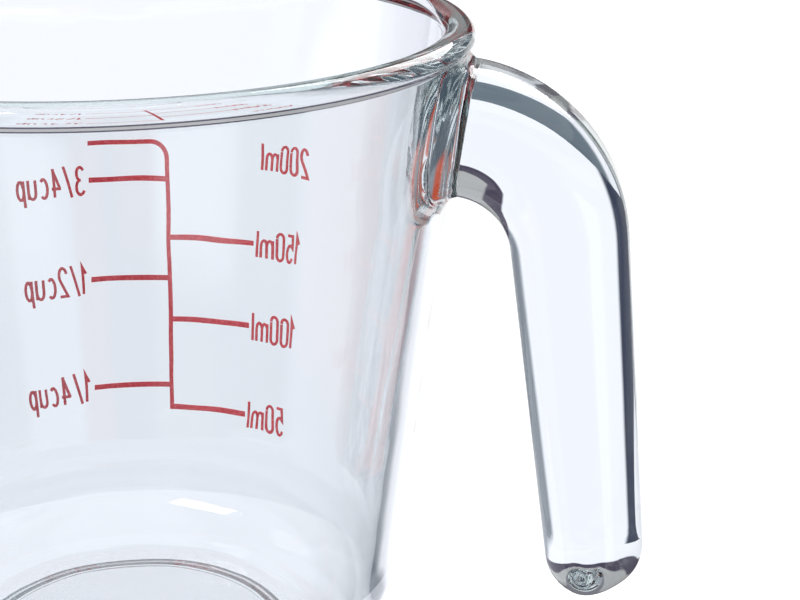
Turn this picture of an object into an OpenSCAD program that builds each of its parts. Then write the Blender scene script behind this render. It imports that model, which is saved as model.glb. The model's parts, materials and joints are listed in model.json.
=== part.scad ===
// Pressed-glass measuring jug for 200 ml, with a pouring lip, an open-ended strap handle
// and a scale printed in enamel.
// Origin: centre of the foot ring, on the table plane. +Z is up, the handle points along +X,
// the pouring lip along -X, and the printed scale is on the side that faces +Y.

/* [Vessel] */
// Outer diameter of the rim, over its bead
rim_d = 91; // [86:0.5:96]
// Overall height, table to rim
body_h = 86; // [82:0.5:94]
// Diameter that the outer face of the straight wall would have at the table
base_d = 68.4; // [64:0.2:73]
// Thickness of the side wall
wall_t = 3.2; // [2.6:0.1:4]
// Height of the inside floor above the table
floor_z = 4.8; // [4:0.1:6.5]
// Outer diameter of the ring that the jug stands on
foot_d = 52; // [48:0.5:56]
// Radius of the outer heel, where the wall turns in to the foot
heel_r = 24; // [20:0.5:26]
// Radius of the inner heel, where the wall turns in to the floor
inner_heel_r = 10; // [6:0.5:13]
// Diameter of the hollow in the underside
punt_d = 43; // [36:0.5:45]
// Depth of the hollow in the underside
punt_h = 1.6; // [0.8:0.1:2.2]

/* [Rim] */
// Height of the bead round the rim
bead_h = 2.9; // [2.2:0.1:4]
// How far the bead stands out from the wall
bead_out = 0.9; // [0.5:0.1:1.4]
// Radius of the rounded edges on top of the rim
lip_r = 1.3; // [0.8:0.1:1.6]

/* [Pouring lip] */
// How far the pouring lip reaches beyond the rim
spout_reach = 8; // [5:0.5:10]
// Width of the pouring lip where it leaves the rim
spout_w = 38; // [30:1:42]
// Radius of the tip of the pouring lip
spout_tip_r = 7; // [5:0.5:8]
// How far below the rim the pouring lip starts to leave the wall
spout_drop = 24; // [18:1:30]

/* [Handle] */
// Distance from the axis of the jug to the outer face of the handle
handle_out = 68; // [65:0.5:74]
// Width of the strap, side to side
strap_w = 17; // [14:0.5:20]
// Thickness of the strap at its free end
strap_t = 12.7; // [10:0.1:14]
// Thickness of the strap where it grows out of the wall
root_t = 15.7; // [13:0.1:17]
// Drop from the rim to the middle of the root
root_drop = 12.2; // [11.5:0.1:15]
// Radius of the bend, on the middle line of the strap
elbow_r = 15.2; // [13:0.2:17]
// Lean of the leg away from the wall, in degrees
leg_lean = 6; // [2:0.5:8]
// Height of the free end of the handle above the table
leg_end_z = 12.8; // [8:0.2:20]
// Radius of the flare that spreads the root on the wall
flare_r = 4; // [3:0.5:6]

/* [Scale] */
// Thickness of the printed enamel
enamel_t = 0.15; // [0.1:0.05:0.25]
// Volume between two marks on the metric side, in millilitres
mark_ml = 50; // [50:50:50]
// Volume of one cup, in millilitres
cup_ml = 250; // [240:5:250]
// Width of the upright line
spine_w = 0.65; // [0.5:0.05:0.9]
// Width of a mark line
mark_w = 0.75; // [0.5:0.05:1]
// Length of the lowest mark line on the metric side, and of each mark line on the cup side
mark_l = 12.2; // [9:0.2:14]
// How much longer each mark line on the metric side is than the one below it
mark_growth = 0.9; // [0:0.1:1.4]
// Radius of the corner at the top of the upright line
corner_r = 2.6; // [2:0.1:3.5]
// Height of a digit
digit_h = 4; // [3.2:0.1:4.6]
// Width of a digit, along its stroke's middle line
digit_w = 1.2; // [1.15:0.05:1.6]
// Width of the stroke of a digit
stroke_w = 0.42; // [0.35:0.01:0.44]
// Gap between two characters, and between a mark line and its label
letter_gap = 0.3; // [0.3:0.05:0.8]

/* [Hidden] */

// Overrun of every cut
over = 1;
// Straight wall: the outer face is a cone, and stretch turns a thickness into a radius step
rim_r = rim_d / 2;
base_r = base_d / 2;
foot_r = foot_d / 2;
punt_r = punt_d / 2;
bead_z = body_h - bead_h;
taper = (rim_r - bead_out - base_r) / bead_z;
stretch = sqrt(1 + taper * taper);
lean = atan(taper);
function wall_r(z) = base_r + taper * z;
function inner_r(z) = wall_r(z) - wall_t * stretch;

// Steps in a rounded profile
heel_steps = 8;
lip_steps = 4;

// Points of an arc in the plane of the profile, from angle a0 to angle a1
function arc(centre, r, a0, a1, steps) =
    [for (i = [0:steps]) let (a = a0 + (a1 - a0) * i / steps) centre + r * [cos(a), sin(a)]];

// Outer heel: an arc tangent to the wall that ends on the edge of the foot ring
heel_in = base_r - foot_r;
heel_lift = heel_in * taper / stretch;
heel_run = -heel_lift + sqrt(heel_lift * heel_lift - heel_in * heel_in
    + 2 * heel_in * heel_r / stretch);
heel_c = [base_r + (heel_run * taper - heel_r) / stretch, (heel_run + heel_r * taper) / stretch];
heel_foot_a = atan2(-heel_c[1], foot_r - heel_c[0]);

// Inner heel: an arc tangent to the floor and to the inside of the wall
inner_c = [inner_r(floor_z + inner_heel_r) - inner_heel_r * stretch, floor_z + inner_heel_r];

// Hollow underneath: its side slopes in by its own depth
punt_roof_r = punt_r - punt_h;

// Pouring lip: three discs, at the tip, at the root and low on the wall
spout_root_r = spout_w / 2;
spout_low_r = spout_root_r / 2.5;
spout_tip_x = rim_r + spout_reach - spout_tip_r;
spout_root_x = rim_r - spout_root_r - bead_out;
spout_low_z = body_h - spout_drop;
spout_low_x = wall_r(spout_low_z) - spout_low_r - bead_out;
spout_edge = 0.75 * wall_t;
spout_depth_z = body_h - lip_r;
spout_fn = 32;

// Handle: stub in the wall, bend, straight leg and round free end, on one middle line in XZ
root_z = body_h - root_drop;
end_r = strap_t / 2;
elbow_end_z = root_z - elbow_r + elbow_r * sin(leg_lean);
leg_l = (elbow_end_z - leg_end_z - end_r) / cos(leg_lean);
elbow_end_x = handle_out - end_r * cos(leg_lean) - leg_l * sin(leg_lean);
elbow_c = [elbow_end_x - elbow_r * cos(leg_lean), root_z - elbow_r];
// The wall falls back behind the edge of the flare, and the stub starts behind that
flare_edge = strap_w / 2 + flare_r;
root_x = wall_r(root_z);
flare_back = root_x - sqrt(root_x * root_x - flare_edge * flare_edge);
flare_x = root_x - flare_back;
stub_x = min(elbow_c[0], flare_x) - wall_t / 2;
stub_l = elbow_c[0] - stub_x;
bend_l = elbow_r * (90 - leg_lean) * PI / 180;
// Share of the flare that the underside of the root takes
under_share = 0.35;
// Roundness of the strap's section: 2 is an ellipse, more is squarer
squareness = 4;
ring_sides = 24;
stub_steps = 3;
bend_steps = 18;
leg_steps = 7;
end_steps = 6;
end_a = 82;

// Middle line of the strap: [x, z, direction in degrees] at a distance s from its start
function strap_at(s) =
    s <= stub_l ? [stub_x + s, root_z, 0]
    : s <= stub_l + bend_l ? let (a = 90 - (s - stub_l) / elbow_r * 180 / PI)
        [elbow_c[0] + elbow_r * cos(a), elbow_c[1] + elbow_r * sin(a), a - 90]
    : let (d = s - stub_l - bend_l)
        [elbow_end_x + d * sin(leg_lean), elbow_end_z - d * cos(leg_lean), leg_lean - 90];
// Quarter-round flare at a distance x from the axis: full at the wall, nothing one radius further out
function flare_at(x) = let (d = max(0, min(flare_r, x - flare_x)))
    flare_r - sqrt(flare_r * flare_r - (flare_r - d) * (flare_r - d));
strap_l = stub_l + bend_l + leg_l;
function depth_at(s) = let (k = min(1, max(0, s / strap_l))) (root_t * (1 - k) + strap_t * k) / 2;
// One ring of the skin: centre and direction, half width, outer and inner half depth
function ring(at, w, d_out, d_in) = [for (i = [0:ring_sides - 1])
    let (a = 360 * i / ring_sides, c = cos(a), s = sin(a),
        u = sign(c) * pow(abs(c), 2 / squareness), v = sign(s) * pow(abs(s), 2 / squareness),
        d = v > 0 ? v * d_out : v * d_in)
    [at[0] - sin(at[2]) * d, u * w, at[1] + cos(at[2]) * d]];
stations = concat(
    [for (i = [0:stub_steps - 1]) stub_l * i / stub_steps],
    [for (i = [0:bend_steps]) stub_l + bend_l * i / bend_steps],
    [for (i = [1:leg_steps]) stub_l + bend_l + leg_l * i / leg_steps]);
strap_rings = [for (s = stations) let (at = strap_at(s), f = flare_at(at[0]), d = depth_at(s))
    ring(at, strap_w / 2 + f, d, d + under_share * f)];
end_rings = [for (i = [1:end_steps]) let (a = end_a * i / end_steps, at = strap_at(strap_l),
        d = end_r * cos(a), go = end_r * sin(a))
    ring([at[0] + go * sin(leg_lean), at[1] - go * cos(leg_lean), at[2]],
        strap_w / 2 - end_r + d, d, d)];

// Side of a cube that holds one millilitre
ml_side = 10;
// Level of a volume in the jug: the inside is a cone from the floor up, less its rounded heel
floor_r = inner_r(floor_z);
heel_loss = 2 * PI * (floor_r - inner_heel_r / 4) * inner_heel_r * inner_heel_r * (1 - PI / 4);
function level_z(v) = floor_z
    + (pow(3 * taper * (v * pow(ml_side, 3) + heel_loss) / PI + pow(floor_r, 3), 1 / 3) - floor_r) / taper;

// Scale: the upright line stands at the middle of the side, and angles grow away from the handle
spine_a = 90;
function turn(l, z) = l / wall_r(z) * 180 / PI;
ml_marks = [for (i = [1:3]) level_z(i * mark_ml)];
cup_marks = [for (i = [1:3]) level_z(i * cup_ml / 4)];
corner_z = level_z(4 * mark_ml);
border_z = corner_z + corner_r;
corner_steps = 8;

// Characters: strokes on a unit cell, as shares of the digit's width and height
function bow(cx, cy, rx, ry, a0, a1, n) =
    [for (i = [0:n]) let (a = a0 + (a1 - a0) * i / n) [cx + rx * cos(a), cy + ry * sin(a)]];
zero_shares = [concat(bow(0.5, 0.82, 0.5, 0.18, 0, 180, 10), bow(0.5, 0.18, 0.5, 0.18, 180, 360, 10),
    [[1, 0.79]])];
one_shares = [[[0.1, 0.74], [0.5, 1], [0.5, 0]]];
two_shares = [concat(bow(0.5, 0.72, 0.48, 0.28, 165, -30, 9), [[0, 0], [1, 0]])];
three_shares = [bow(0.48, 0.76, 0.46, 0.24, 150, -90, 9), bow(0.48, 0.27, 0.52, 0.27, 95, -150, 9)];
four_shares = [[[0.72, 0], [0.72, 1]], [[0.78, 0.98], [0, 0.28]], [[-0.1, 0.3], [1.05, 0.3]]];
five_shares = [concat([[0.95, 1], [0.15, 1], [0.08, 0.55]], bow(0.48, 0.32, 0.5, 0.32, 125, -150, 10))];
m_shares = [[[0, 0], [0, 0.68]],
    concat(bow(0.42, 0.44, 0.42, 0.22, 170, 0, 6), [[0.84, 0]]),
    concat(bow(1.26, 0.44, 0.42, 0.22, 170, 0, 6), [[1.68, 0]])];
l_shares = [[[0, 0], [0, 1]]];
slash_shares = [[[0, -0.06], [0.9, 1.06]]];
c_shares = [bow(0.48, 0.33, 0.48, 0.33, 50, 310, 10)];
u_shares = [concat([[0, 0.66]], bow(0.45, 0.24, 0.45, 0.24, 180, 350, 7)), [[0.9, 0], [0.9, 0.68]]];
p_shares = [[[0, -0.3], [0, 0.68]], bow(0.42, 0.33, 0.42, 0.33, 165, -165, 11)];
// Widths of the characters, as shares of a digit's width
one_share = 0.5;
m_share = 1.68;
l_share = 0;
round_share = 0.9;

zero = [zero_shares, 1, true];
one = [one_shares, one_share, false];
two = [two_shares, 1, false];
three = [three_shares, 1, false];
four = [four_shares, 1, false];
five = [five_shares, 1, false];
letter_m = [m_shares, m_share, false];
letter_l = [l_shares, l_share, false];
slash = [slash_shares, round_share, false];
letter_c = [c_shares, round_share, false];
letter_u = [u_shares, round_share, false];
letter_p = [p_shares, round_share, false];
unit_ml = [letter_m, letter_l];
unit_cup = [letter_c, letter_u, letter_p];

glass = [0.86, 0.92, 0.93, 0.45];
enamel = [0.79, 0.16, 0.18];

// Solid of revolution inside the outer skin of the vessel
module outer_body() {
    rotate_extrude($fn = 180) polygon(concat(
        [[0, punt_h], [punt_roof_r, punt_h], [punt_r, 0]],
        arc(heel_c, heel_r, heel_foot_a, -lean, heel_steps),
        [[wall_r(bead_z), bead_z], [rim_r, bead_z + bead_out]],
        arc([rim_r - lip_r, body_h - lip_r], lip_r, 0, 90, lip_steps),
        [[0, body_h]]));
}

// Solid of revolution that the jug holds, open upwards
module cavity() {
    lip_z = body_h - lip_r;
    rotate_extrude($fn = 180) polygon(concat(
        [[0, floor_z]],
        arc(inner_c, inner_heel_r, -90, -lean, heel_steps),
        arc([inner_r(lip_z) + lip_r, lip_z], lip_r, 180, 90, lip_steps),
        [[inner_r(lip_z) + lip_r, body_h + over], [0, body_h + over]]));
}

// One of the discs that span the pouring lip
module spout_disc(x, z, r, h) {
    translate([-x, 0, z]) cylinder(h = h, r = r, $fn = spout_fn);
}

module spout_outer() {
    hull() {
        spout_disc(spout_tip_x, bead_z, spout_tip_r, bead_h);
        spout_disc(spout_root_x, bead_z, spout_root_r, bead_h);
        spout_disc(spout_low_x, spout_low_z, spout_low_r, bead_h);
    }
}

module spout_inner() {
    hull() {
        spout_disc(spout_tip_x, spout_depth_z, spout_tip_r - spout_edge, lip_r + over);
        spout_disc(spout_root_x, spout_depth_z, spout_root_r - spout_edge, lip_r + over);
        spout_disc(spout_low_x, spout_low_z + wall_t, spout_low_r - spout_edge, bead_h);
    }
}

module vessel() {
    color(glass) difference() {
        union() {
            outer_body();
            spout_outer();
        }
        cavity();
        spout_inner();
    }
}

// Skin through the rings, closed with a flat face at both ends
module skin(rings) {
    n = len(rings[0]);
    m = len(rings);
    polyhedron(
        points = [for (r = rings) each r],
        faces = concat(
            [[for (i = [0:n - 1]) i]],
            [for (j = [0:m - 2]) for (i = [0:n - 1]) let (k = (i + 1) % n)
                each [[j * n + i, j * n + n + i, j * n + n + k], [j * n + i, j * n + n + k, j * n + k]]],
            [[for (i = [n - 1:-1:0]) (m - 1) * n + i]]));
}

module handle() {
    color(glass) difference() {
        skin(concat(strap_rings, end_rings));
        cylinder(h = body_h, r1 = base_r, r2 = wall_r(body_h), $fn = 180);
    }
}

// Band of enamel on the wall, from angle a0 to a1 and from height z0 to z1
module band(a0, a1, z0, z1) {
    rotate([0, 0, a0]) rotate_extrude(angle = a1 - a0, $fn = 180) polygon([
        [wall_r(z0), z0], [wall_r(z0) + enamel_t, z0], [wall_r(z1) + enamel_t, z1], [wall_r(z1), z1]]);
}

// Distance across the face of the scale at which a line of length l along the wall ends
function mark_x(l, z) = wall_r(z) * sin(turn(l, z));
// Length of a metric mark line, by its number from the bottom up
function metric_l(i) = mark_l + i * mark_growth;

// Wraps a flat outline onto the wall as enamel: x grows away from the handle and y is the height
module print_on_wall(z0, z1) {
    reach = 2 * turn(mark_l, z0);
    color(enamel) intersection() {
        band(spine_a - reach, spine_a + reach, z0, z1);
        rotate([0, 0, spine_a]) rotate([90, 0, 90]) linear_extrude(rim_r) children();
    }
}

// Level line at height z that ends at x, on the metric side (-1) or on the cup side (1)
module mark(z, x, side) {
    print_on_wall(z - mark_w, z + mark_w)
        translate([side < 0 ? -x : spine_w / 2, z - mark_w / 2]) square([x - spine_w / 2, mark_w]);
}

// Upright line, with a rounded corner into the line along the top
module scale_line() {
    low_z = ml_marks[0] - mark_w / 2;
    centre = [corner_r, corner_z];
    end_x = mark_x(mark_l, border_z);
    print_on_wall(low_z - mark_w, border_z + spine_w) polygon(concat(
        [[-spine_w / 2, low_z]],
        arc(centre, corner_r + spine_w / 2, 180, 90, corner_steps),
        [[end_x, border_z + spine_w / 2], [end_x, border_z - spine_w / 2]],
        arc(centre, corner_r - spine_w / 2, 90, 180, corner_steps),
        [[spine_w / 2, low_z]]));
}

module metric_marks() {
    for (i = [0:len(ml_marks) - 1]) mark(ml_marks[i], mark_x(metric_l(i), ml_marks[i]), -1);
}
module quarter_cup_marks() {
    for (z = cup_marks) mark(z, mark_x(mark_l, z), 1);
}

// Unit vector from a to b, and the left normal of a polyline at its point i
function along(a, b) = (b - a) / norm(b - a);
function normal_at(p, i) = let (
        t = i == 0 ? along(p[0], p[1])
            : i == len(p) - 1 ? along(p[i - 1], p[i])
            : along([0, 0], along(p[i - 1], p[i]) + along(p[i], p[i + 1])),
        u = i == 0 ? t : along(p[i - 1], p[i]))
    [-t[1], t[0]] / (t * u);
function side_of(p, d) = [for (i = [0:len(p) - 1]) p[i] + d * normal_at(p, i)];

// Outline of one stroke of a character, at its real size
module stroke(shares) {
    p = [for (q = shares) [q[0] * digit_w, q[1] * digit_h]];
    left = side_of(p, stroke_w / 2);
    right = side_of(p, -stroke_w / 2);
    polygon(concat(left, [for (i = [len(p) - 1:-1:0]) right[i]]));
}

// One character as a thin plate on the wall, centred on angle a and height z
module character(c, a, z) {
    rotate([0, 0, a]) translate([wall_r(z), 0, z]) rotate([0, lean, 0]) rotate([90, 0, 90])
        translate([-c[1] * digit_w / 2, -digit_h / 2, 0]) linear_extrude(enamel_t)
            for (s = c[0]) stroke(s);
}

// Widths of characters set in a row, and where each one starts
function advance(c) = c[1] * digit_w + stroke_w + letter_gap;
function row_l(row, n) = n == 0 ? 0 : advance(row[n - 1]) + row_l(row, n - 1);

// Label whose near edge is at a distance d from the upright line, on the side that side names
module label(row, z, d, side) {
    l = row_l(row, len(row));
    first = side < 0 ? -(d + l) : d;
    color(enamel) for (i = [0:len(row) - 1])
        character(row[i], spine_a + turn(first + row_l(row, i) + advance(row[i]) / 2, z), z);
}

// Label of the metric mark with number i
module metric_label(row, i, z) { label(row, z, metric_l(i) + letter_gap, -1); }
module cup_label(row, z) { label(row, z, mark_l + letter_gap, 1); }
module label_50_ml() { metric_label(concat([five, zero], unit_ml), 0, ml_marks[0]); }
module label_100_ml() { metric_label(concat([one, zero, zero], unit_ml), 1, ml_marks[1]); }
module label_150_ml() { metric_label(concat([one, five, zero], unit_ml), 2, ml_marks[2]); }
module label_200_ml() { metric_label(concat([two, zero, zero], unit_ml), 3, border_z - corner_r / 2); }
module label_quarter_cup() { cup_label(concat([one, slash, four], unit_cup), cup_marks[0]); }
module label_half_cup() { cup_label(concat([one, slash, two], unit_cup), cup_marks[1]); }
module label_three_quarter_cup() { cup_label(concat([three, slash, four], unit_cup), cup_marks[2]); }

vessel();
handle();
scale_line();
metric_marks();
quarter_cup_marks();
label_50_ml();
label_100_ml();
label_150_ml();
label_200_ml();
label_quarter_cup();
label_half_cup();
label_three_quarter_cup();
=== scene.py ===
"""A small pressed-glass measuring jug with a printed scale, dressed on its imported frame.

The vessel and its strap handle are one glass skin, so that light bends only where glass meets air. The scale
stays as the solids of the frame, which lie on the wall, and gets a fired-enamel finish.
"""
from __future__ import annotations

import json
import logging
from dataclasses import dataclass

import bpy
import numpy as np
from mathutils import Matrix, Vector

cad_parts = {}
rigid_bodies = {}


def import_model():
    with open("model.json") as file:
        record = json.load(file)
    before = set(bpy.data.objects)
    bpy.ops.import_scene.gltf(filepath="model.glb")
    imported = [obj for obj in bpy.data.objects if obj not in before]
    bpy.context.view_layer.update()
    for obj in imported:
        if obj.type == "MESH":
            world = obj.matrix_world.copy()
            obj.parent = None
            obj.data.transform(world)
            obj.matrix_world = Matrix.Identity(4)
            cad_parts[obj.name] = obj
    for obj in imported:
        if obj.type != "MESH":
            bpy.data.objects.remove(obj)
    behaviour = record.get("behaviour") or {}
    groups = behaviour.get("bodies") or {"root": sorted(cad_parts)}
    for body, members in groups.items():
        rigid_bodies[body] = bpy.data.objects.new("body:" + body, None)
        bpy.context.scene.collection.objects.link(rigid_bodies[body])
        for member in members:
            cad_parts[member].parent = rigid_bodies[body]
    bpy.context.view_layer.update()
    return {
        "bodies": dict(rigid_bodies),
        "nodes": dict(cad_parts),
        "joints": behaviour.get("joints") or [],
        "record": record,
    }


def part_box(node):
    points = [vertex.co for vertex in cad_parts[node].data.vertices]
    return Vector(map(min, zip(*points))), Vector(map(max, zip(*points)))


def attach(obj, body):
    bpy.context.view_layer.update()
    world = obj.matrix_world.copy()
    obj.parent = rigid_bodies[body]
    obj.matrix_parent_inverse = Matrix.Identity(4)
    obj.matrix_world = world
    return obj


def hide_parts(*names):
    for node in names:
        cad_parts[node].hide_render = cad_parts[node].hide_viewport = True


log = logging.getLogger("measuring_jug")

# One millimetre in the scene's metres
MM = 0.001
GLASS_NODES = ("vessel", "handle")
RGBA = tuple[float, float, float, float]
WHITE: RGBA = (1, 1, 1, 1)
# Cool white of the lit panels, the lit table and the lit surround
LIT = "f5f6ff"


def linear(colour: str) -> RGBA:
    """Turns an sRGB hex colour into linear RGBA.

    Args:
        colour: six hex digits, such as "c8323c".

    Returns:
        The linear red, green and blue, and an alpha of one.
    """
    srgb = np.array([int(colour[i:i + 2], 16) for i in (0, 2, 4)]) / 255
    value = np.where(srgb <= 0.04045, srgb / 12.92, ((srgb + 0.055) / 1.055) ** 2.4)
    return (*map(float, value), 1.0)


def add_node(tree: bpy.types.NodeTree, kind: str, inputs: dict | None = None, **settings) -> bpy.types.Node:
    """Adds a node with its settings and links.

    Args:
        tree: the node tree.
        kind: the node's type name.
        inputs: a socket's name or number to its value, or to the socket that feeds it.
        settings: the node's own properties.

    Returns:
        The new node.
    """
    node = tree.nodes.new(kind)
    for name, value in settings.items():
        setattr(node, name, value)
    for key, value in (inputs or {}).items():
        if isinstance(value, bpy.types.NodeSocket):
            tree.links.new(value, node.inputs[key])
        else:
            node.inputs[key].default_value = value
    return node


def fill_ramp(node: bpy.types.Node, stops: list[tuple[float, RGBA]]) -> None:
    """Sets a colour ramp's stops, given as (place, colour) pairs in order."""
    elements = node.color_ramp.elements
    while len(elements) < len(stops):
        elements.new(0.5)
    for element, (place, colour) in zip(elements, stops):
        element.position = place
        element.color = colour


def smoothstep(low: float, high: float, x: np.ndarray) -> np.ndarray:
    """Eases from 0 at low to 1 at high, as 3 t squared less 2 t cubed."""
    t = np.clip((x - low) / (high - low), 0, 1)
    return t * t * (3 - 2 * t)


def arc(centre: tuple[float, float], radius: float, start: float, end: float, count: int) -> np.ndarray:
    """Points on an arc in the plane of a profile.

    Args:
        centre: the arc's centre, as radius and height.
        radius: its radius.
        start: the first angle, in degrees from the outward direction.
        end: the last angle.
        count: how many points.

    Returns:
        The points, one per row: the centre plus the radius times (cosine, sine) of the angle.
    """
    angle = np.radians(np.linspace(start, end, count))
    return np.asarray(centre) + radius * np.stack([np.cos(angle), np.sin(angle)], axis=1)


def rounded(corners: list[tuple[float, float, float]], count: int = 14) -> np.ndarray:
    """Rounds each corner of a polyline by its own radius.

    At a corner the arc starts and ends at radius times tan(half the turn) from it, and its centre lies on the
    bisector, at radius over cos(half the turn).

    Args:
        corners: x, y and radius of each corner; the first and last aren't rounded.
        count: points on each arc.

    Returns:
        The rounded polyline's points, one per row.
    """
    pieces = [np.array([corners[0][:2]])]
    for before, here, after in zip(corners, corners[1:], corners[2:]):
        corner = np.array(here[:2])
        back = np.array(before[:2]) - corner
        on = np.array(after[:2]) - corner
        back /= np.linalg.norm(back)
        on /= np.linalg.norm(on)
        half_turn = (np.pi - np.arccos(np.clip(back @ on, -1, 1))) / 2
        if here[2] <= 0 or half_turn < 0.01:
            pieces.append(corner[None])
            continue
        bisector = (back + on) / np.linalg.norm(back + on)
        centre = corner + bisector * here[2] / np.cos(half_turn)
        sweep = np.linspace(-half_turn, half_turn, count)
        side = np.array([-bisector[1], bisector[0]])
        side *= np.sign(side @ on)
        pieces.append(centre + here[2] * (np.outer(np.sin(sweep), side) - np.outer(np.cos(sweep), bisector)))
    pieces.append(np.array([corners[-1][:2]]))
    return np.concatenate(pieces)


@dataclass(frozen=True)
class Vessel:
    """The vessel's sizes in millimetres, and the profile and warp that they give."""

    rim_r: float
    body_h: float
    spout_reach: float
    base_r: float = 34.2
    wall_t: float = 3.2
    floor_z: float = 4.8
    foot_r: float = 26.0
    heel_r: float = 24.0
    inner_heel_r: float = 10.0
    punt_r: float = 21.5
    punt_h: float = 1.6
    bead_h: float = 2.9
    bead_out: float = 0.9
    lip_outer_r: float = 1.85
    lip_inner_r: float = 1.8
    spout_drop: float = 24.0
    spout_half_angle: float = 10.4
    # Power of the height by which the pouring lip leaves the wall
    spout_rise: float = 1.7
    # Roundings of the hollow's two corners, the foot ring's edge, and the bead's two lower corners
    punt_top_r: float = 1.2
    punt_edge_r: float = 0.9
    foot_edge_r: float = 0.7
    bead_root_r: float = 0.3
    bead_edge_r: float = 0.5
    # Spacing of the rows: on the outer wall, inside, at the rim and at the foot ring
    outer_row: float = 1.15
    inner_row: float = 1.7
    rim_row: float = 0.28
    foot_row: float = 0.45
    # The wall stands this far proud, so that the print's inner face lies in the glass, as fired enamel does
    enamel_bite: float = 0.03

    @property
    def bead_z(self) -> float:
        """Height of the bead's lower edge."""
        return self.body_h - self.bead_h

    @property
    def taper(self) -> float:
        """Growth of the wall's radius with height."""
        return (self.rim_r - self.bead_out - self.base_r) / self.bead_z

    @property
    def stretch(self) -> float:
        """Turns a thickness of the leaning wall into a step of radius."""
        return float(np.hypot(1, self.taper))

    def wall(self, z: float | np.ndarray) -> float | np.ndarray:
        """Radius of the wall's outer face at a height."""
        return self.base_r + self.enamel_bite + self.taper * z

    def inner(self, z: float) -> float:
        """Radius of the wall's inner face at a height."""
        return self.base_r + self.taper * z - self.wall_t * self.stretch

    def profile(self) -> np.ndarray:
        """Half section of the glass, from the middle of the underside, over the rim, to the middle of the floor.

        The heel is the arc that is tangent to the wall and ends on the foot ring's edge, and the corners are
        rounded. The points are then spread along it at the spacing that each stretch needs.

        Returns:
            Radius and height of each point, one per row.
        """
        lean = float(np.degrees(np.arctan(self.taper)))
        inset = self.base_r + self.enamel_bite - self.foot_r
        lift = inset * self.taper / self.stretch
        run = -lift + np.sqrt(lift**2 - inset**2 + 2 * inset * self.heel_r / self.stretch)
        heel_c = (self.base_r + self.enamel_bite + (run * self.taper - self.heel_r) / self.stretch,
                  (run + self.heel_r * self.taper) / self.stretch)
        foot_a = float(np.degrees(np.arctan2(-heel_c[1], self.foot_r - heel_c[0])))
        inner_z = self.floor_z + self.inner_heel_r
        inner_c = (self.inner(inner_z) - self.inner_heel_r * self.stretch, inner_z)
        heel = arc(heel_c, self.heel_r, foot_a, -lean, 30)
        inner_heel = arc(inner_c, self.inner_heel_r, -lean, -90, 24)
        corners = [(0, self.punt_h, 0), (self.punt_r - self.punt_h, self.punt_h, self.punt_top_r),
                   (self.punt_r, 0, self.punt_edge_r)]
        corners += [(heel[0][0], heel[0][1], self.foot_edge_r)] + [(*p, 0) for p in heel[1:]]
        corners += [(self.wall(self.bead_z), self.bead_z, self.bead_root_r),
                    (self.rim_r, self.bead_z + self.bead_out, self.bead_edge_r),
                    (self.rim_r, self.body_h, self.lip_outer_r),
                    (self.inner(self.body_h), self.body_h, self.lip_inner_r)]
        corners += [(*p, 0) for p in inner_heel] + [(0, self.floor_z, 0)]
        return self.spread(rounded(corners))

    def spread(self, points: np.ndarray) -> np.ndarray:
        """Spreads rows along the profile: closest at the rim, close on the outer wall, wider inside."""
        step = np.diff(points, axis=0)
        length = np.concatenate([[0], np.cumsum(np.hypot(*step.T))])
        along = np.linspace(0, length[-1], 6000)
        r, z = (np.interp(along, length, column) for column in points.T)
        top = along[np.argmax(z)]
        spacing = np.where(along < top, self.outer_row, self.inner_row)
        spacing = np.where(z > self.bead_z - 1.5, self.rim_row, spacing)
        spacing = np.where((z < 1.0) & (r > self.punt_r - 3), self.foot_row, spacing)
        rows = np.concatenate([[0], np.cumsum(np.diff(along) / spacing[1:])])
        wanted = np.linspace(0, rows[-1], int(rows[-1]))
        place = np.interp(wanted, rows, along)
        return np.stack([np.interp(place, along, r), np.interp(place, along, z)], axis=1)

    def spout(self, theta: np.ndarray, z: np.ndarray) -> np.ndarray:
        """How far the pouring lip pushes a point outwards.

        The push is the reach, times a bell curve of the angle from -X, times a power of the height above the
        lip's start that is 1 at the rim.

        Args:
            theta: angles round the axis, in radians.
            z: heights.

        Returns:
            The push in millimetres.
        """
        off = np.degrees(np.abs(np.abs(theta) - np.pi))
        bell = np.exp(-(off / self.spout_half_angle) ** 2)
        whole_z = self.body_h - self.lip_outer_r
        rise = np.clip(1 - (whole_z - z) / (self.spout_drop - self.lip_outer_r), 0, 1) ** self.spout_rise
        return self.spout_reach * bell * rise


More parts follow.
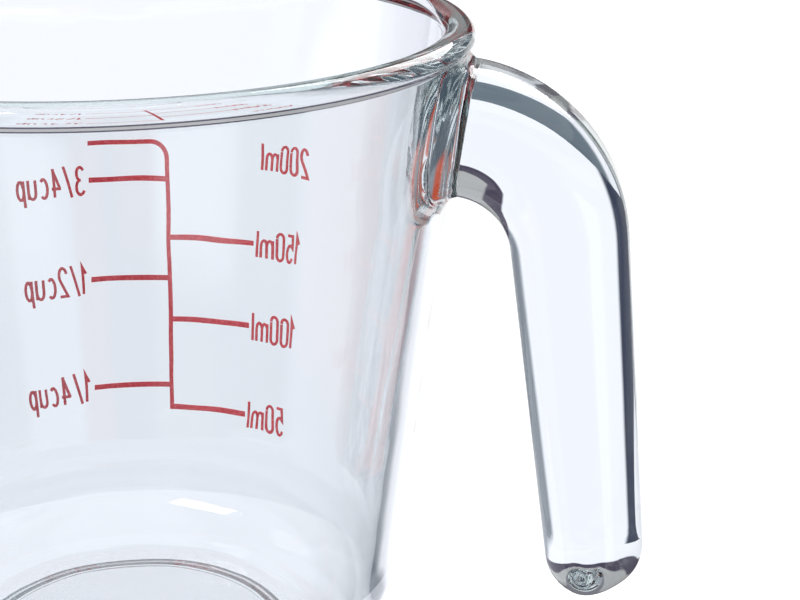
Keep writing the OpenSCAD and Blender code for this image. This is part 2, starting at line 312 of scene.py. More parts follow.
@dataclass(frozen=True)
class Strap:
    """The strap handle's sizes in millimetres, and the distance to its skin."""

    vessel: Vessel
    handle_out: float
    width: float = 17.0
    end_t: float = 12.7
    root_t: float = 15.7
    root_drop: float = 12.2
    elbow_r: float = 15.2
    leg_lean: float = 6.0
    leg_end_z: float = 12.8
    # The edges of the outer face are rounder than those of the inner face
    outer_edge_r: float = 6.5
    inner_edge_r: float = 3.9
    # The flare runs further along the wall beside the root than under it, and little way up the strap
    flare_beside: float = 22.0
    flare_under: float = 0.9
    flare_up_strap: float = 1.5
    # Half the height over which the side flare eases out under the root
    flare_ease: float = 5.0
    # How much a ring's square is drawn in towards a circle
    squareness: float = 0.35

    @property
    def root_z(self) -> float:
        """Height of the middle of the root."""
        return self.vessel.body_h - self.root_drop

    @property
    def lean(self) -> float:
        """Lean of the leg in radians."""
        return float(np.radians(self.leg_lean))

    @property
    def bend_l(self) -> float:
        """Length of the bend on the strap's middle line."""
        return self.elbow_r * (np.pi / 2 - self.lean)

    @property
    def leg_l(self) -> float:
        """Length of the straight leg, to the middle of its round end."""
        elbow_end_z = self.root_z - self.elbow_r * (1 - np.sin(self.lean))
        return float((elbow_end_z - self.leg_end_z - self.end_t / 2) / np.cos(self.lean))

    @property
    def elbow(self) -> np.ndarray:
        """Centre of the bend, as distance from the axis and height."""
        end_x = self.handle_out - self.end_t / 2 - self.leg_l * np.sin(self.lean)
        return np.array([end_x - self.elbow_r * np.cos(self.lean), self.root_z - self.elbow_r])

    def frame_at(self, s: np.ndarray) -> tuple[np.ndarray, np.ndarray]:
        """Point and outward normal of the middle line at a length s from the start of the bend.

        On the bend the normal turns from straight up by s over the bend's radius, and on the leg it stays.

        Returns:
            The points and the normals, as distance from the axis and height, one per row.
        """
        angle = np.pi / 2 - np.clip(s, 0, self.bend_l) / self.elbow_r
        normal = np.stack([np.cos(angle), np.sin(angle)], axis=-1)
        ahead = np.stack([np.sin(angle), -np.cos(angle)], axis=-1)
        rest = s - np.clip(s, 0, self.bend_l)
        return self.elbow + self.elbow_r * normal + ahead * rest[..., None], normal

    def half_depth(self, s: np.ndarray) -> np.ndarray:
        """Half thickness of the strap, which shrinks evenly from the root to the free end."""
        k = np.clip(s / (self.bend_l + self.leg_l), 0, 1)
        return (self.root_t * (1 - k) + self.end_t * k) / 2

    def strap_distance(self, p: np.ndarray) -> np.ndarray:
        """Signed distance from the strap's own skin.

        A point is unrolled to a length along the middle line and a height over it. The side view gives a
        distance to the strap's outline, round at the free end, and the two sides, drawn in by the edge's
        radius, give the other; their rounded meeting is the skin. The edge's radius eases from the inner
        face's to the outer face's with the height.

        Args:
            p: points, one per row.

        Returns:
            Distances, below zero inside.
        """
        off = p[:, [0, 2]] - self.elbow
        angle = np.arctan2(off[:, 1], off[:, 0])
        on_bend = (angle > self.lean) & (angle < np.pi / 2)
        on_stub = (angle >= np.pi / 2) | (angle < -np.pi * 0.75)
        leg_out = off @ np.array([np.cos(self.lean), np.sin(self.lean)]) - self.elbow_r
        leg_s = self.bend_l + off @ np.array([np.sin(self.lean), -np.cos(self.lean)])
        s = np.where(on_bend, (np.pi / 2 - angle) * self.elbow_r, np.where(on_stub, off[:, 0], leg_s))
        over = np.where(on_bend, np.hypot(*off.T) - self.elbow_r,
                        np.where(on_stub, off[:, 1] - self.elbow_r, leg_out))
        past = np.maximum(s - self.bend_l - self.leg_l, 0)
        ease = smoothstep(-self.end_t / 4, self.end_t / 4, over)
        edge_r = self.inner_edge_r + (self.outer_edge_r - self.inner_edge_r) * ease
        outline = np.hypot(over, past) - self.half_depth(s) + edge_r
        sides = np.abs(p[:, 1]) - self.width / 2 + edge_r
        corner = np.hypot(np.maximum(outline, 0), np.maximum(sides, 0))
        return corner + np.minimum(np.maximum(outline, sides), 0) - edge_r

    def distance(self, p: np.ndarray) -> np.ndarray:
        """Signed distance from the skin of strap and wall, joined by a round flare.

        Both distances are cut off at the flare's radius, and the joint is the radius less their hypotenuse. The
        wall's distance is stretched first, so that the flare runs its radius along the wall but only part of that
        up the strap.
        """
        wall = (np.hypot(p[:, 0], p[:, 1]) - self.vessel.wall(p[:, 2])) / self.vessel.stretch
        strap = self.strap_distance(p)
        low_z = self.root_z - self.root_t / 2
        beside = smoothstep(self.width / 4, self.width / 2 + 3, np.abs(p[:, 1]))
        beside = beside * smoothstep(low_z - self.flare_ease, low_z + self.flare_ease, p[:, 2])
        radius = self.flare_under + (self.flare_beside - self.flare_under) * beside
        steep = np.maximum(radius / self.flare_up_strap, 1)
        wall = wall * steep
        near = np.hypot(np.maximum(radius - wall, 0), np.maximum(radius - strap, 0))
        return np.maximum(radius, np.minimum(wall, strap)) - near

    def settle(self, p: np.ndarray, rounds: int = 8) -> np.ndarray:
        """Moves points onto the joined skin with Newton's steps down the distance's slope.

        Args:
            p: points near the skin, one per row.
            rounds: how many steps.

        Returns:
            The moved points.
        """
        for _ in range(rounds):
            slope = self.slope(p)
            p = p - slope * (self.distance(p) / np.maximum((slope**2).sum(axis=1), 0.05))[:, None]
        return p

    def slope(self, p: np.ndarray, eps: float = 0.001) -> np.ndarray:
        """Slope of the distance along each axis, from its difference over a short step each way."""
        return np.stack([(self.distance(p + d) - self.distance(p - d)) / (2 * eps) for d in eps * np.eye(3)], axis=1)

    def ring(self, s: float, a: np.ndarray, b: np.ndarray, shrink: float = 1.0) -> np.ndarray:
        """Points of one ring of the strap before it settles.

        The ring's (a, b) lie on a square's edge. Each is drawn in by part of the other's square, which rounds
        the square, and then scaled to the half width and half depth.

        Args:
            s: length along the middle line.
            a: places across the width, from -1 to 1.
            b: places through the thickness, from -1 inside to 1 outside.
            shrink: share of the half depth that is left at the free end.

        Returns:
            The points, one per row.
        """
        centre, normal = self.frame_at(np.array([s]))
        depth = self.half_depth(np.array([s]))[0] * shrink
        width = self.width / 2 - self.inner_edge_r * (1 - shrink)
        across = a * np.sqrt(1 - self.squareness * b * b) * width
        through = b * np.sqrt(1 - self.squareness * a * a) * depth
        at = centre[0] + through[:, None] * normal[0]
        return np.stack([at[:, 0], across, at[:, 1]], axis=1)


@dataclass
class GlassSkin:
    """One closed skin round the vessel and its handle: a turned grid with the strap grown out of a window."""

    vessel: Vessel
    strap: Strap
    columns: int = 320
    # The window in the grid that the strap grows out of: half its columns, its foot, and its gap to the bead
    window_half: int = 12
    window_low: float = 65.0
    window_top_gap: float = 0.55
    # The part of the wall that settles on the flare: half its angle, and its foot
    flare_half_angle: float = 50.0
    flare_low: float = 45.0
    # Rings between the window and the strap's first whole ring, that ring's place, and the step of the next ones
    root_rings: int = 7
    first_ring: float = 4.2
    ring_step: float = 1.0
    # Angles of the free end's rings, in degrees
    end_angles: tuple[int, ...] = (0, 8, 16, 24, 32, 40, 48)

    def build(self, name: str) -> bpy.types.Object:
        """Builds the skin as one mesh object in metres.

        The vessel's grid turns its profile round the axis; the strap's rings start on the window's edge and
        share its points; a square patch closes the free end.

        Args:
            name: the object's name.

        Returns:
            The new object.
        """
        profile = self.vessel.profile()
        low_pole, rows, high_pole = profile[0], profile[1:-1], profile[-1]
        theta = -np.pi + 2 * np.pi * np.arange(self.columns) / self.columns
        r, z = (np.repeat(column[:, None], self.columns, axis=1) for column in rows.T)
        r = r + self.vessel.spout(theta[None, :], z)
        grid = np.stack([r * np.cos(theta), r * np.sin(theta), z], axis=-1)
        outer = np.arange(len(rows)) < np.argmax(rows[:, 1])
        settled = self.settle_wall(grid, theta, outer)
        points = grid.reshape(-1, 3)

        count = len(rows)
        index = np.arange(count * self.columns).reshape(count, self.columns)
        window = self.window_rows(rows, outer)
        middle = self.columns // 2
        keep = np.ones((count - 1, self.columns), bool)
        keep[window[0]:window[-1], middle - self.window_half:middle + self.window_half] = False
        after = np.roll(index, -1, axis=1)
        quads = np.stack([index[:-1], after[:-1], after[1:], index[1:]], axis=-1)[keep]

        a, b, edge = self.window_edge(index, window, middle)
        rings, patch = self.grow_strap(points[edge], a, b, len(window))
        base = len(points)
        ring_index = np.concatenate([edge[None], base + np.arange(rings.shape[0] * len(edge)).reshape(-1, len(edge))])
        along = np.roll(ring_index, -1, axis=1)
        sleeve = np.stack([ring_index[:-1], along[:-1], along[1:], ring_index[1:]], axis=-1).reshape(-1, 4)
        base += rings.shape[0] * len(edge)
        closing = self.close_end(ring_index[-1], base, len(window))
        base += len(patch)

        poles = np.array([[0, 0, low_pole[1]], [0, 0, high_pole[1]]])
        points = np.concatenate([points, rings.reshape(-1, 3), patch, poles])
        grown = np.ones(len(points) - settled.size - len(poles), bool)
        settled = np.concatenate([settled.ravel(), grown, np.zeros(len(poles), bool)])
        fans = np.concatenate([
            np.stack([np.full(self.columns, base), after[0], index[0]], axis=1),
            np.stack([np.full(self.columns, base + 1), index[-1], after[-1]], axis=1)])
        made = make_mesh(name, points * MM, [np.concatenate([quads, sleeve, closing]), fans])
        self.true_normals(made.data, points, settled)
        return made

    def true_normals(self, mesh: bpy.types.Mesh, points: np.ndarray, settled: np.ndarray) -> None:
        """Gives settled points the distance's slope as their normal, so that glass bends light evenly there.

        Args:
            mesh: the skin's mesh.
            points: its points in millimetres.
            settled: which points lie on the joined skin; the others keep the normal that their faces give.
        """
        normals = np.empty(len(points) * 3, np.float32)
        mesh.vertex_normals.foreach_get("vector", normals)
        normals = normals.reshape(-1, 3)
        slope = self.strap.slope(points[settled])
        normals[settled] = slope / np.linalg.norm(slope, axis=1, keepdims=True)
        mesh.normals_split_custom_set_from_vertices(normals.tolist())

    def settle_wall(self, grid: np.ndarray, theta: np.ndarray, outer: np.ndarray) -> np.ndarray:
        """Lifts the outer wall's points near the root onto the flare, and tells which points it lifted."""
        near = np.abs(theta) < np.radians(self.flare_half_angle)
        heights = grid[:, 0, 2]
        part = outer & (heights > self.flare_low) & (heights < self.vessel.bead_z - 0.05)
        block = np.ix_(part, near)
        grid[block] = self.strap.settle(grid[block].reshape(-1, 3)).reshape(grid[block].shape)
        settled = np.zeros(grid.shape[:2], bool)
        settled[block] = True
        return settled

    def window_rows(self, rows: np.ndarray, outer: np.ndarray) -> np.ndarray:
        """Rows of the outer wall that the strap's window takes, low to high."""
        top = self.vessel.bead_z - self.window_top_gap
        return np.flatnonzero(outer & (rows[:, 1] > self.window_low) & (rows[:, 1] < top))

    def window_edge(self, index: np.ndarray, window: np.ndarray,
                    middle: int) -> tuple[np.ndarray, np.ndarray, np.ndarray]:
        """Walks round the window's edge.

        Returns:
            Each point's place across and up, from -1 to 1, and its number in the grid, counter-clockwise as seen
            from outside.
        """
        across = np.arange(-self.window_half, self.window_half + 1)
        up = np.arange(len(window))
        column = np.concatenate([across[:-1], np.full(len(up) - 1, across[-1]), across[:0:-1],
                                 np.full(len(up) - 1, across[0])])
        row = np.concatenate([np.zeros(len(across) - 1, int), up[:-1], np.full(len(across) - 1, up[-1]),
                              up[:0:-1]])
        return column / self.window_half, 2 * row / up[-1] - 1, index[window[row], middle + column]

    def grow_strap(self, edge: np.ndarray, a: np.ndarray, b: np.ndarray,
                   window_count: int) -> tuple[np.ndarray, np.ndarray]:
        """Rings from the window to the free end, and the patch that closes it, all settled on the skin.

        The first rings run evenly from the window's edge to the first whole ring. The last ones draw in by the
        cosine of an angle as they go on by its sine, as on a ball.

        Returns:
            The rings, and the patch's inner points.
        """
        first = self.strap.ring(self.first_ring, a, b)
        ease = (np.arange(1, self.root_rings) / self.root_rings)[:, None, None]
        root = edge[None] * (1 - ease) + first[None] * ease
        whole_l = self.strap.bend_l + self.strap.leg_l
        lengths = np.arange(self.first_ring, whole_l, self.ring_step)
        body = np.stack([self.strap.ring(float(s), a, b) for s in lengths])
        end_r = self.strap.end_t / 2
        angles = np.radians(self.end_angles)
        end = np.stack([self.strap.ring(float(whole_l + end_r * np.sin(t)), a, b, float(np.cos(t)))
                        for t in angles])
        rings = np.concatenate([root, body, end])
        across = np.linspace(-1, 1, 2 * self.window_half + 1)[1:-1]
        through = np.linspace(-1, 1, window_count)[1:-1]
        pa, pb = (g.ravel() for g in np.meshgrid(across, through))
        cap_s = float(whole_l + end_r * np.sin(angles[-1]))
        patch = self.strap.ring(cap_s, pa, pb, float(np.cos(angles[-1])))
        patch += self.end_direction() * (end_r * (1 - np.sin(angles[-1])) * (1 - np.maximum(pa**2, pb**2)))[:, None]
        return self.strap.settle(rings.reshape(-1, 3)).reshape(rings.shape), self.strap.settle(patch)

    def end_direction(self) -> np.ndarray:
        """Direction in which the leg points at its free end."""
        return np.array([np.sin(self.strap.lean), 0, -np.cos(self.strap.lean)])

    def close_end(self, ring: np.ndarray, base: int, window_count: int) -> np.ndarray:
        """Quads of the patch: the last ring is its edge, and the inner points fill it."""
        wide, high = 2 * self.window_half + 1, window_count
        square = np.zeros((high, wide), int)
        square[1:-1, 1:-1] = base + np.arange((high - 2) * (wide - 2)).reshape(high - 2, wide - 2)
        sides = np.cumsum([0, wide - 1, high - 1, wide - 1])
        square[0, :-1] = ring[sides[0]:sides[1]]
        square[:-1, -1] = ring[sides[1]:sides[2]]
        square[-1, :0:-1] = ring[sides[2]:sides[3]]
        square[:0:-1, 0] = ring[sides[3]:]
        return np.stack([square[:-1, :-1], square[:-1, 1:], square[1:, 1:], square[1:, :-1]], axis=-1).reshape(-1, 4)


def make_mesh(name: str, points: np.ndarray, faces: list[np.ndarray]) -> bpy.types.Object:
    """Makes a smooth-shaded mesh object from arrays.

    Args:
        name: the object's name.
        points: places in metres, one per row.
        faces: arrays of faces, each with its own number of corners.

    Returns:
        The object, linked to the scene.
    """
    mesh = bpy.data.meshes.new(name)
    corners = np.concatenate([f.ravel() for f in faces]).astype(np.int32)
    sizes = np.concatenate([np.full(len(f), f.shape[1]) for f in faces])
    mesh.vertices.add(len(points))
    mesh.vertices.foreach_set("co", points.astype(np.float32).ravel())
    mesh.loops.add(len(corners))
    mesh.loops.foreach_set("vertex_index", corners)
    mesh.polygons.add(len(sizes))
    mesh.polygons.foreach_set("loop_start", (np.cumsum(sizes) - sizes).astype(np.int32))
    mesh.polygons.foreach_set("use_smooth", np.ones(len(sizes), bool))
    mesh.update(calc_edges=True)
    mesh.validate()
    made = bpy.data.objects.new(name, mesh)
    bpy.context.scene.collection.objects.link(made)
    return made


@dataclass(frozen=True)
class PressedGlass:
    """Clear soda-lime glass, pressed and fire-polished: nearly colourless, green-grey through a long path.

    The fire polish leaves a glossy skin with a slow waviness, which bends reflections a little.
    """

    ior: float = 1.52
    surface: str = "fafcfc"
    tint: str = "7ab5ae"
    density: float = 4.0
    wave_mm: float = 9.0
    wave_height_mm: float = 0.03
    # Part of the light that the glass lets into its own shadow
    shadow: RGBA = (0.93, 0.96, 0.95, 1)

    def make(self) -> bpy.types.Material:
        """Builds the material."""
        material = bpy.data.materials.new("pressed_soda_lime_glass")
        material.use_nodes = True
        tree = material.node_tree
        tree.nodes.clear()
        place = add_node(tree, "ShaderNodeTexCoord")
        wave = add_node(tree, "ShaderNodeTexNoise",
                        {"Vector": place.outputs["Object"], "Scale": 1 / (self.wave_mm * MM), "Detail": 1.0})
        bump = add_node(tree, "ShaderNodeBump",
                        {"Height": wave.outputs[0], "Strength": 1.0, "Distance": self.wave_height_mm * MM})
        shell = add_node(tree, "ShaderNodeBsdfPrincipled",
                         {"Base Color": linear(self.surface), "Roughness": 0.0, "IOR": self.ior,
                          "Transmission Weight": 1.0, "Normal": bump.outputs["Normal"]})
        ray = add_node(tree, "ShaderNodeLightPath")
        clear = add_node(tree, "ShaderNodeBsdfTransparent", {"Color": self.shadow})
        mix = add_node(tree, "ShaderNodeMixShader",
                       {0: ray.outputs["Is Shadow Ray"], 1: shell.outputs[0], 2: clear.outputs[0]})
        depth = add_node(tree, "ShaderNodeVolumeAbsorption",
                         {"Color": linear(self.tint), "Density": self.density})
        add_node(tree, "ShaderNodeOutputMaterial", {"Surface": mix.outputs[0], "Volume": depth.outputs[0]})
        return material


@dataclass(frozen=True)
class FiredEnamel:
    """Red vitreous enamel, screen-printed and fired on: opaque, slightly glossy, with the screen's fine grain."""

    colour: str = "c4303c"
    worn: str = "d8606a"
    # The real grain is about 0.1 mm; it is drawn coarser, so that it shows
    grain_mm: float = 0.35
    grain_height_mm: float = 0.02
    roughness: float = 0.32

    def make(self) -> bpy.types.Material:
        """Builds the material."""
        material = bpy.data.materials.new("fired_red_enamel")
        material.use_nodes = True
        tree = material.node_tree
        tree.nodes.clear()
        place = add_node(tree, "ShaderNodeTexCoord")
        grain = add_node(tree, "ShaderNodeTexNoise",
                         {"Vector": place.outputs["Object"], "Scale": 1 / (self.grain_mm * MM), "Detail": 3.0})
        ramp = add_node(tree, "ShaderNodeValToRGB", {"Fac": grain.outputs[0]})
        fill_ramp(ramp, [(0.42, linear(self.colour)), (0.72, linear(self.worn))])
        bump = add_node(tree, "ShaderNodeBump",
                        {"Height": grain.outputs[0], "Strength": 0.4, "Distance": self.grain_height_mm * MM})
        shell = add_node(tree, "ShaderNodeBsdfPrincipled",
                         {"Base Color": ramp.outputs["Color"], "Roughness": self.roughness,
                          "Normal": bump.outputs["Normal"]})
        add_node(tree, "ShaderNodeOutputMaterial", {"Surface": shell.outputs[0]})
        return material


@dataclass(frozen=True)
class PrintedScale:
    """The enamel print: the frame's own solids, each with the fired finish."""

    nodes: tuple[str, ...]

    def dress(self, frame: dict, finish: bpy.types.Material) -> None:
        """Gives every patch of the print its finish.

        Args:
            frame: the loaded frame.
            finish: the enamel.
        """
        for name in self.nodes:
            patch = frame["nodes"][name]
            patch.data.materials.clear()
            patch.data.materials.append(finish)
            log.info("%s: enamel on the wall", name)


@dataclass(frozen=True)
class Panel:
    """One upright panel of the ring round the set, between two angles in degrees counter-clockwise from +X."""

    first: float
    last: float
    colour: str


def ring_stops(panels: tuple[Panel, ...]) -> list[tuple[float, RGBA]]:
    """Lays panels out as the stops of a colour ramp.

    Args:
        panels: Panels round the set.

    Returns:
        Stops from 0 to 1 round from -X: a panel's colour at both its edges, blending in between.
    """
    stops = []
    for panel in panels:
        first, last = ((angle / 360 + 0.5) % 1 for angle in (panel.first, panel.last))
        places = (first, last) if first < last else (first, 1.0, 0.0, last)
        stops += [(place, linear(panel.colour)) for place in places]
    return sorted(stops, key=lambda stop: stop[0])


@dataclass(frozen=True)
class Band:
    """A band of the surroundings between two sines of the elevation, with its panels."""

    low: float
    high: float
    panels: tuple[Panel, ...]


@dataclass(frozen=True)
class Studio:
    """A plain white set, with the camera at the photograph's place.

    The camera and matt finishes see white all round. Glass and gloss see what stands round a glass still life: a
    small lit table, a ring of lit and dark panels down to the horizon, and bands of ceiling above it. They draw
    the dark and light lines along the jug's edges.
    """

    # Camera: place in metres, and the directions of its axes
    camera_at: tuple[float, float, float] = (0.05062, -0.22065, 0.12864)
    right: tuple[float, float, float] = (0.9979, 0.0644, 0.0)
    back: tuple[float, float, float] = (0.0607, -0.9414, 0.3318)
    lens: float = 83.96
    # The white floor, its lit middle that glass sees, and how much of its white is matt and how much its own
    floor_r: float = 3.0
    floor_sides: int = 96
    table_r: float = 0.05
    floor_matt: float = 0.5
    floor_own: float = 0.62
    # How many times light may cross glass
    bounces: int = 40
    # Matt finishes are lit by the fill
    fill: str = "dfe3ee"
    lit_strength: float = 1.17
    # Ring and floor for light that a face of the glass has turned back. Below this sine of the elevation the ring
    # gives way to a dark floor, within the given softness
    panels: tuple[Panel, ...] = (
        Panel(357, 26, "c4512f"), Panel(32, 58, "858b95"), Panel(64, 116, LIT), Panel(119, 160, "3a4054"),
        Panel(163, 197, LIT), Panel(203, 236, "7d8a88"), Panel(241, 263, "a4aaa6"), Panel(268, 283, "2b2d36"),
        Panel(288, 296, "b4553c"), Panel(300, 322, LIT), Panel(327, 350, "76817f"))
    floor_from: float = -0.53
    floor_soft: float = 0.02
    floor_colour: str = "48535f"
    # Light that goes straight through sees a lit surround, a little darker past two walls, so that the jug is clear
    # from every side. Past one wall it also sees these strips and floor cards, which line the handle's edges
    deep: str = "ebedf6"
    strips: tuple[Band, ...] = (
        Band(-0.29, 0.0, (Panel(64, 34, LIT), Panel(40, 58, "858b95"))),
        Band(-0.53, -0.29, (
            Panel(150, 34, LIT), Panel(40, 58, "858b95"), Panel(64, 116, LIT), Panel(119, 145, "3a4054"))),
        Band(-0.74, -0.53, (
            Panel(2, 72, LIT), Panel(78, 125, "62707c"), Panel(131, 291, LIT), Panel(297, 356, "62707c"))))
    # Ceiling: height of each band's lower edge as the sine of its elevation, and its colour; and half the width of
    # the blend between two bands
    ceiling: tuple[tuple[float, str], ...] = (
        (0.0, "463f52"), (0.16, "aaaaac"), (0.36, "77767f"), (0.54, "e6e6ee"), (0.86, "a8a9b4"))
    ceiling_soft: float = 0.01
    # Softboxes: place in metres, side in metres and power in watts
    softboxes: tuple[tuple[tuple[float, float, float], float, float], ...] = (
        ((-0.30, -0.30, 0.50), 0.30, 2.0), ((0.25, 0.45, 0.45), 0.35, 2.0))

    def build(self) -> None:
        """Builds the table, the world, the softboxes and the camera."""
        self.table()
        self.world()
        for number, (at, side, power) in enumerate(self.softboxes, 1):
            self.softbox(f"softbox_{number}", at, side, power)
        self.camera()
        bpy.context.scene.view_settings.view_transform = "Standard"
        # Light crosses the handle's root many times before it leaves the glass
        light = bpy.context.scene.cycles
        light.max_bounces = light.transmission_bounces = light.glossy_bounces = self.bounces

    def table(self) -> None:
        """Lays the white floor, and its lit middle that only glass sees.

        The floor is matt and takes the jug's shadow, with part of its white of its own, so that it stays white.
        Glass sees the lit middle under the jug, and past its edge the ring of panels.
        """
        turn = np.linspace(0, 2 * np.pi, self.floor_sides, endpoint=False)
        rim = np.stack([np.cos(turn), np.sin(turn), 0 * turn], axis=1)
        floor = make_mesh("floor", rim * self.floor_r, [np.arange(self.floor_sides)[None]])
        material = bpy.data.materials.new("white_floor")
        material.use_nodes = True
        tree = material.node_tree
        tree.nodes.clear()
        matt = add_node(tree, "ShaderNodeBsdfDiffuse", {"Color": (self.floor_matt,) * 3 + (1,)})
        own = add_node(tree, "ShaderNodeEmission", {"Color": WHITE, "Strength": self.floor_own})
        seen = add_node(tree, "ShaderNodeAddShader", {0: matt.outputs[0], 1: own.outputs[0]})
        glow = add_node(tree, "ShaderNodeEmission", {"Color": linear(LIT), "Strength": self.lit_strength})
        past = add_node(tree, "ShaderNodeBsdfTransparent", {"Color": WHITE})
        place = add_node(tree, "ShaderNodeTexCoord")
        away = add_node(tree, "ShaderNodeVectorMath", {0: place.outputs["Object"]}, operation="LENGTH")
        edge = add_node(tree, "ShaderNodeMath", {0: away.outputs["Value"], 1: self.table_r},
                        operation="GREATER_THAN")
        under = add_node(tree, "ShaderNodeMixShader", {0: edge.outputs[0], 1: glow.outputs[0], 2: past.outputs[0]})
        ray = add_node(tree, "ShaderNodeLightPath")
        plain = add_node(tree, "ShaderNodeMath",
                         {0: ray.outputs["Is Camera Ray"], 1: ray.outputs["Is Diffuse Ray"]}, operation="MAXIMUM")
        mix = add_node(tree, "ShaderNodeMixShader", {0: plain.outputs[0], 1: under.outputs[0], 2: seen.outputs[0]})
        add_node(tree, "ShaderNodeOutputMaterial", {"Surface": mix.outputs[0]})
        floor.data.materials.append(material)

    def world(self) -> None:
        """Surrounds the set: white to the camera, soft to matt finishes, ring and ceiling to glass."""
        world = bpy.data.worlds.new("studio")
        bpy.context.scene.world = world
        world.use_nodes = True
        tree = world.node_tree
        tree.nodes.clear()
        place = add_node(tree, "ShaderNodeTexCoord")
        axes = add_node(tree, "ShaderNodeSeparateXYZ", {0: place.outputs["Generated"]})
        angle = add_node(tree, "ShaderNodeMath", {0: axes.outputs["Y"], 1: axes.outputs["X"]}, operation="ARCTAN2")
        turn = add_node(tree, "ShaderNodeMath", {0: angle.outputs[0], 1: 1 / (2 * np.pi), 2: 0.5},
                        operation="MULTIPLY_ADD")
        ray = add_node(tree, "ShaderNodeLightPath")
        soft = self.ceiling_soft
        above = add_node(tree, "ShaderNodeValToRGB", {"Fac": axes.outputs["Z"]})
        fill_ramp(above, [stop for (low, colour), (high, _) in zip(self.ceiling, self.ceiling[1:] + ((1.0, ""),))
                          for stop in ((low + soft, linear(colour)), (high - soft, linear(colour)))])
        horizon = add_node(tree, "ShaderNodeMapRange", {0: axes.outputs["Z"], 1: -soft, 2: soft})
        turned, straight = (
            add_node(tree, "ShaderNodeMix", {0: horizon.outputs[0], 6: below, 7: above.outputs["Color"]},
                     data_type="RGBA").outputs[2]
            for below in (self.turned_sight(tree, axes, turn), self.straight_sight(tree, axes, turn, ray)))
        back = add_node(tree, "ShaderNodeMath", {0: ray.outputs["Glossy Depth"], 1: 0.5}, operation="GREATER_THAN")
        through = add_node(tree, "ShaderNodeMix", {0: back.outputs[0], 6: straight, 7: turned}, data_type="RGBA")
        grey = add_node(tree, "ShaderNodeRGBToBW", {0: turned})
        fill, gloss, around, seen = (
            add_node(tree, "ShaderNodeBackground", {"Color": colour, "Strength": strength}).outputs[0]
            for colour, strength in ((linear(self.fill), 1.0), (grey.outputs[0], self.lit_strength),
                                     (through.outputs[2], self.lit_strength), (WHITE, 1.0)))
        # A ray through clear glass counts as glossy too, so the later choice wins
        mix = fill
        for kind, sight in (("Is Glossy Ray", gloss), ("Is Transmission Ray", around), ("Is Camera Ray", seen)):
            mix = add_node(tree, "ShaderNodeMixShader", {0: ray.outputs[kind], 1: mix, 2: sight}).outputs[0]
        add_node(tree, "ShaderNodeOutputWorld", {"Surface": mix})

    def turned_sight(self, tree: bpy.types.NodeTree, axes: bpy.types.Node,
                     turn: bpy.types.Node) -> bpy.types.NodeSocket:
        """Colours what light that glass has turned back sees below the horizon: the ring, and under it the floor.

        Args:
            tree: the world's nodes.
            axes: node that gives the direction's x, y and z.
            turn: node that gives the direction's turn round the set, from 0 to 1.

        Returns:
            The colour's socket.
        """
        ring = add_node(tree, "ShaderNodeValToRGB", {"Fac": turn.outputs[0]})
        fill_ramp(ring, ring_stops(self.panels))
        edge = add_node(tree, "ShaderNodeMapRange", {0: axes.outputs["Z"], 1: self.floor_from - self.floor_soft,
                                                     2: self.floor_from + self.floor_soft})
        return add_node(tree, "ShaderNodeMix",
                        {0: edge.outputs[0], 6: linear(self.floor_colour), 7: ring.outputs["Color"]},
                        data_type="RGBA").outputs[2]

    def straight_sight(self, tree: bpy.types.NodeTree, axes: bpy.types.Node, turn: bpy.types.Node,
                       ray: bpy.types.Node) -> bpy.types.NodeSocket:
        """Colours what light that goes straight through sees below the horizon.

        It is lit all round. After one wall, which is two faces, each band's panels are laid over that.

        Args:
            tree: the world's nodes.
            axes: node that gives the direction's x, y and z.
            turn: node that gives the direction's turn round the set, from 0 to 1.
            ray: the light path node.

        Returns:
            The colour's socket.
        """
        single = add_node(tree, "ShaderNodeMath", {0: ray.outputs["Transmission Depth"], 1: 2.5},
                          operation="LESS_THAN")
        sight = add_node(tree, "ShaderNodeMix", {0: single.outputs[0], 6: linear(self.deep), 7: linear(LIT)},
                         data_type="RGBA").outputs[2]
        for band in self.strips:
            ramp = add_node(tree, "ShaderNodeValToRGB", {"Fac": turn.outputs[0]})
            fill_ramp(ramp, ring_stops(band.panels))
            part = single.outputs[0]
            for side, sine in (("GREATER_THAN", band.low), ("LESS_THAN", band.high)):
                within = add_node(tree, "ShaderNodeMath", {0: axes.outputs["Z"], 1: sine}, operation=side)
                part = add_node(tree, "ShaderNodeMath", {0: part, 1: within.outputs[0]},
                                operation="MULTIPLY").outputs[0]
            sight = add_node(tree, "ShaderNodeMix", {0: part, 6: sight, 7: ramp.outputs["Color"]},
                             data_type="RGBA").outputs[2]
        return sight

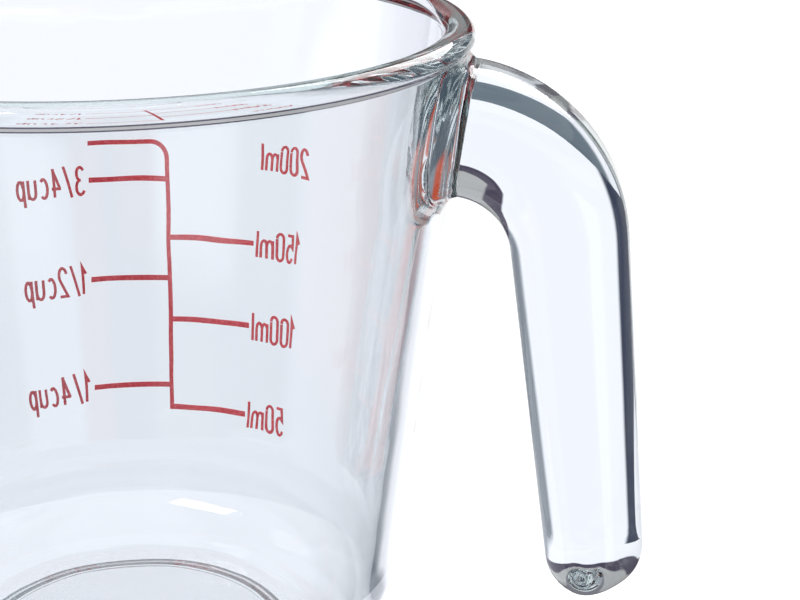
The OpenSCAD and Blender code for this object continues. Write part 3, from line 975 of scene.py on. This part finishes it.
    def softbox(self, name: str, at: tuple[float, float, float], side: float, power: float) -> None:
        """Hangs one square softbox that faces the middle of the set."""
        data = bpy.data.lights.new(name, "AREA")
        data.shape = "SQUARE"
        data.size = side
        data.energy = power
        lamp = bpy.data.objects.new(name, data)
        lamp.matrix_world = Matrix.Translation(at) @ look_along(-np.asarray(at, float))
        # Seen through glass a softbox would be a hard-edged square
        lamp.visible_transmission = False
        bpy.context.scene.collection.objects.link(lamp)

    def camera(self) -> None:
        """Places the camera, with its axes made square again after rounding."""
        data = bpy.data.cameras.new("camera")
        data.sensor_width = 36.0
        data.lens = self.lens
        data.clip_start = 0.01
        view = bpy.data.objects.new("camera", data)
        back = np.asarray(self.back, float)
        back /= np.linalg.norm(back)
        right = np.asarray(self.right, float)
        right -= back * (right @ back)
        right /= np.linalg.norm(right)
        turn = np.eye(4)
        turn[:3] = np.stack([right, np.cross(back, right), back, self.camera_at], axis=1)
        view.matrix_world = Matrix(turn.tolist())
        bpy.context.scene.collection.objects.link(view)
        bpy.context.scene.camera = view


def look_along(direction: np.ndarray) -> Matrix:
    """Turns an object so that its -Z points along a direction."""
    back = -direction / np.linalg.norm(direction)
    right = np.cross([0, 0, 1], back)
    right /= np.linalg.norm(right)
    turn = np.eye(4)
    turn[:3, 0], turn[:3, 1], turn[:3, 2] = right, np.cross(back, right), back
    return Matrix(turn.tolist())


def main() -> None:
    """Builds the jug round the frame, then its studio."""
    logging.basicConfig(level=logging.INFO, format="%(name)s: %(message)s")
    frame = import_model()
    low, high = (np.asarray(corner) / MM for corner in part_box("vessel"))
    vessel = Vessel(rim_r=float(high[1]), body_h=float(high[2]), spout_reach=float(-low[0] - high[1]))
    strap = Strap(vessel, handle_out=float(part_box("handle")[1][0] / MM))
    glass = GlassSkin(vessel, strap).build("glass_body")
    glass.data.materials.append(PressedGlass().make())
    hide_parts(*GLASS_NODES)
    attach(glass, "root")
    log.info("glass_body: %d faces", len(glass.data.polygons))
    enamel = tuple(name for name in frame["nodes"] if name not in GLASS_NODES)
    PrintedScale(enamel).dress(frame, FiredEnamel().make())
    Studio().build()


if __name__ == "__main__":
    main()
